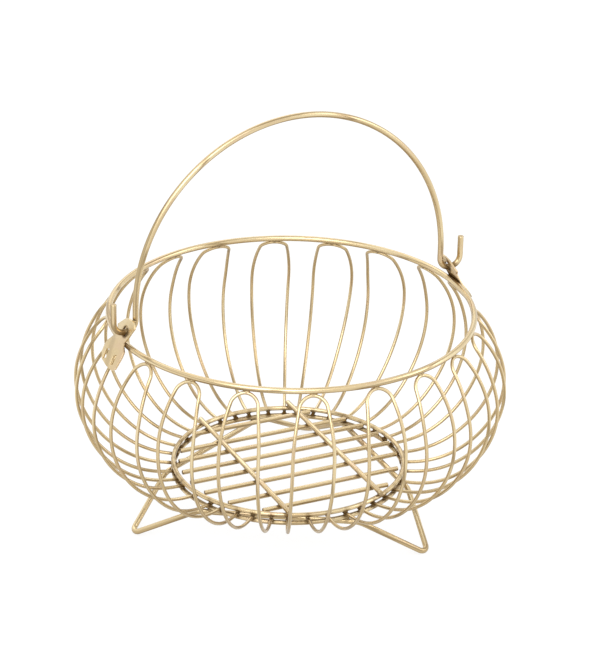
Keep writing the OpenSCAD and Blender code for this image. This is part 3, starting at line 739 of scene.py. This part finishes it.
def beads(name, centres, first, second, *, sizes, heat, seed):
    """Small lumps as one mesh. Each is an ellipsoid in the frame of its two given
    directions and the one across them. Its sizes, in millimetres, are multiplied by
    the cosine of p times the cosine of q, the cosine of p times the sine of q, and
    the sine of p, and all three are made uneven by a few waves in p and q. Three of
    the four drawn phases shift a wave."""
    rng = np.random.default_rng(seed)
    count = len(centres)
    tip = np.pi / 2 * BEAD_TIP_SHARE
    p = np.linspace(-tip, tip, BEAD_ROWS)[:, None]
    q = np.linspace(0, 2 * np.pi, BEAD_COLUMNS, endpoint=False)[None]
    ball = np.stack(np.broadcast_arrays(np.cos(p) * np.cos(q), np.cos(p) * np.sin(q),
                                        np.sin(p)), -1)
    wave = rng.uniform(0, 2 * np.pi, (4, count, 1, 1))
    uneven = (1 + BEAD_OVAL * np.sin(2 * q + wave[0]) * np.cos(p)
              + BEAD_THREE_LOBES * np.sin(3 * q + wave[1]) * np.cos(p)
              + BEAD_TILT * np.sin(2 * p + wave[2])
              + rng.uniform(-BEAD_SPREAD, BEAD_SPREAD, (count, 1, 1)))
    first = unit(first)
    second = unit(second - first * (second * first).sum(-1, keepdims=True))
    axes = np.stack([first, second, np.cross(first, second)], 1)
    lumps = ball[None] * uneven[..., None] * (np.array(sizes) * MM)
    points = centres[:, None, None] + np.einsum("cijk,ckl->cijl", lumps, axes)
    uv = np.linspace(0, 1, BEAD_ROWS + 1), np.linspace(0, 1, BEAD_COLUMNS + 1)
    shape = bmesh.new()
    for lump in points:
        part = grid_mesh("bead", lump, uv, flat_ends=False)
        shape.from_mesh(part)
        bpy.data.meshes.remove(part)
    mesh = bpy.data.meshes.new(name)
    shape.to_mesh(mesh)
    shape.free()
    point_values(mesh, "scorch_and_shade", np.full(len(mesh.vertices), heat))
    add_piece(name, mesh, bead_metal, "basket", [])


def ring_beads(name, centres, *, sizes, heat, seed):
    """Beads that are drawn out along a circle round the Z axis."""
    out = unit(centres * np.array([1, 1, 0]))
    beads(name, centres, np.cross(UP, out), out, sizes=sizes, heat=heat, seed=seed)


rib_side = UP * (RIB_WIRE / 2)
ring_beads("weld_beads_base", np.concatenate([rib_end_welds + rib_side, rib_end_welds - rib_side]),
           sizes=(1.5, 1.2, 0.8), heat=0.62, seed=3)
ring_beads("weld_beads_rim", rim_welds, sizes=(2.4, 1.0, 0.7), heat=0.40, seed=5)
beads("weld_beads_grille", grille_welds,
      np.broadcast_to(grille_place(1.0, 0.0, 0.0), grille_welds.shape),
      np.broadcast_to(grille_place(0.0, 1.0, 0.0), grille_welds.shape),
      sizes=(1.35, 1.35, 0.6), heat=0.55, seed=7)
ring_beads("weld_beads_bars", bar_welds, sizes=(1.7, 1.5, 0.7), heat=0.55, seed=9)
ring_beads("weld_beads_feet", foot_welds, sizes=(1.9, 1.5, 0.7), heat=0.5, seed=11)

# Setting.
# A plain pale floor and soft studio light. The camera sees the floor and the
# background white, with the basket's own faint shadow on it.
FLOOR_HALF = 30.0
FLOOR_GREY, SHADOW_GREY = (0.62, 0.60, 0.57, 1), (0.20, 0.20, 0.20, 1)
FLOOR_GLOW, ROOM_LIGHT = 0.84, 0.85
LAMP_AIM = Vector((0, 0, 0.12))
WHITE = (1, 1, 1, 1)
floor_mesh = bpy.data.meshes.new("floor")
floor_mesh.from_pydata([(x * FLOOR_HALF, y * FLOOR_HALF, 0)
                        for x, y in ((-1, -1), (1, -1), (1, 1), (-1, 1))], [], [(0, 1, 2, 3)])
floor = bpy.data.objects.new("floor", floor_mesh)
bpy.context.scene.collection.objects.link(floor)


def shown_white(tree):
    """One for the rays that show the white floor and background: those of the camera,
    and those that metal and glass show. Zero for the rays that only light things."""
    path = put(tree, "ShaderNodeLightPath").outputs
    gloss = math(tree, "MAXIMUM", path["Is Glossy Ray"], path["Is Transmission Ray"])
    return math(tree, "MAXIMUM", path["Is Camera Ray"], gloss)


ground = bpy.data.materials.new("pale floor")
ground.use_nodes = True
tree = ground.node_tree
tree.nodes.remove(tree.nodes["Principled BSDF"])
matt = put(tree, "ShaderNodeBsdfDiffuse", {"Color": FLOOR_GREY})
catch = put(tree, "ShaderNodeBsdfDiffuse", {"Color": SHADOW_GREY})
glow = put(tree, "ShaderNodeEmission", {"Color": WHITE, "Strength": FLOOR_GLOW})
white = put(tree, "ShaderNodeAddShader", {0: catch.outputs[0], 1: glow.outputs[0]})
plain = put(tree, "ShaderNodeMixShader",
            {0: shown_white(tree), 1: matt.outputs[0], 2: white.outputs[0]})
tree.links.new(plain.outputs[0], tree.nodes["Material Output"].inputs["Surface"])
floor_mesh.materials.append(ground)

world = bpy.data.worlds.new("studio")
bpy.context.scene.world = world
world.use_nodes = True
tree = world.node_tree
backdrop = tree.nodes["Background"]
backdrop.inputs["Color"].default_value = WHITE
backdrop.inputs["Strength"].default_value = 1.0
room = put(tree, "ShaderNodeBackground", {"Color": WHITE, "Strength": ROOM_LIGHT})
choice = put(tree, "ShaderNodeMixShader",
             {0: shown_white(tree), 1: room.outputs[0], 2: backdrop.outputs[0]})
tree.links.new(choice.outputs[0], tree.nodes["World Output"].inputs["Surface"])


def softbox(name, place, *, width, height, power):
    """A rectangular lamp that looks at the middle of the basket."""
    lamp = bpy.data.lights.new(name, "AREA")
    lamp.shape = "RECTANGLE"
    lamp.size, lamp.size_y = width, height
    lamp.energy = power
    holder = bpy.data.objects.new(name, lamp)
    holder.location = place
    holder.rotation_mode = "QUATERNION"
    holder.rotation_quaternion = (LAMP_AIM - Vector(place)).to_track_quat("-Z", "Y")
    bpy.context.scene.collection.objects.link(holder)


softbox("key box", (-1.4, -1.6, 2.2), width=2.2, height=2.2, power=38)
softbox("fill box", (2.1, -1.3, 1.5), width=1.2, height=2.0, power=12)
softbox("back box", (0.4, 2.1, 1.9), width=2.6, height=1.2, power=10)

# Camera.
# It stands where the photograph was taken from: 1.76 m from the middle of the rim
# and 24.6 degrees up.
CAMERA_FAR = 1.7647
PLACE_TURN, PLACE_RISE = np.radians(-28.5), np.radians(24.602)
LOOK_TURN, LOOK_RISE, LOOK_ROLL = np.radians(-28.697), np.radians(24.913), np.radians(1.2536)
LENS_PIXELS, LONG_SIDE_PIXELS, SENSOR = 2802.2, 651, 36.0
SEEN_FAR = 200
spot = around(np.cos(PLACE_RISE), PLACE_TURN - np.pi / 2, np.sin(PLACE_RISE)) * CAMERA_FAR
ahead = -around(np.cos(LOOK_RISE), LOOK_TURN - np.pi / 2, np.sin(LOOK_RISE))
level_right = around(1.0, LOOK_TURN, 0.0)
level_up = np.cross(level_right, ahead)
right = np.cos(LOOK_ROLL) * level_right + np.sin(LOOK_ROLL) * level_up
up = np.cos(LOOK_ROLL) * level_up - np.sin(LOOK_ROLL) * level_right
camera = bpy.data.objects.new("camera", bpy.data.cameras.new("camera"))
camera.data.lens = LENS_PIXELS / LONG_SIDE_PIXELS * SENSOR
camera.data.sensor_width = SENSOR
camera.data.clip_end = SEEN_FAR
aim = Matrix(np.stack([right, up, -ahead], -1).tolist()).to_4x4()
camera.matrix_world = Matrix.Translation(Vector(spot) + Vector((0, 0, rim_z))) @ aim
bpy.context.scene.collection.objects.link(camera)
bpy.context.scene.camera = camera
bpy.context.scene.view_settings.view_transform = "Standard"
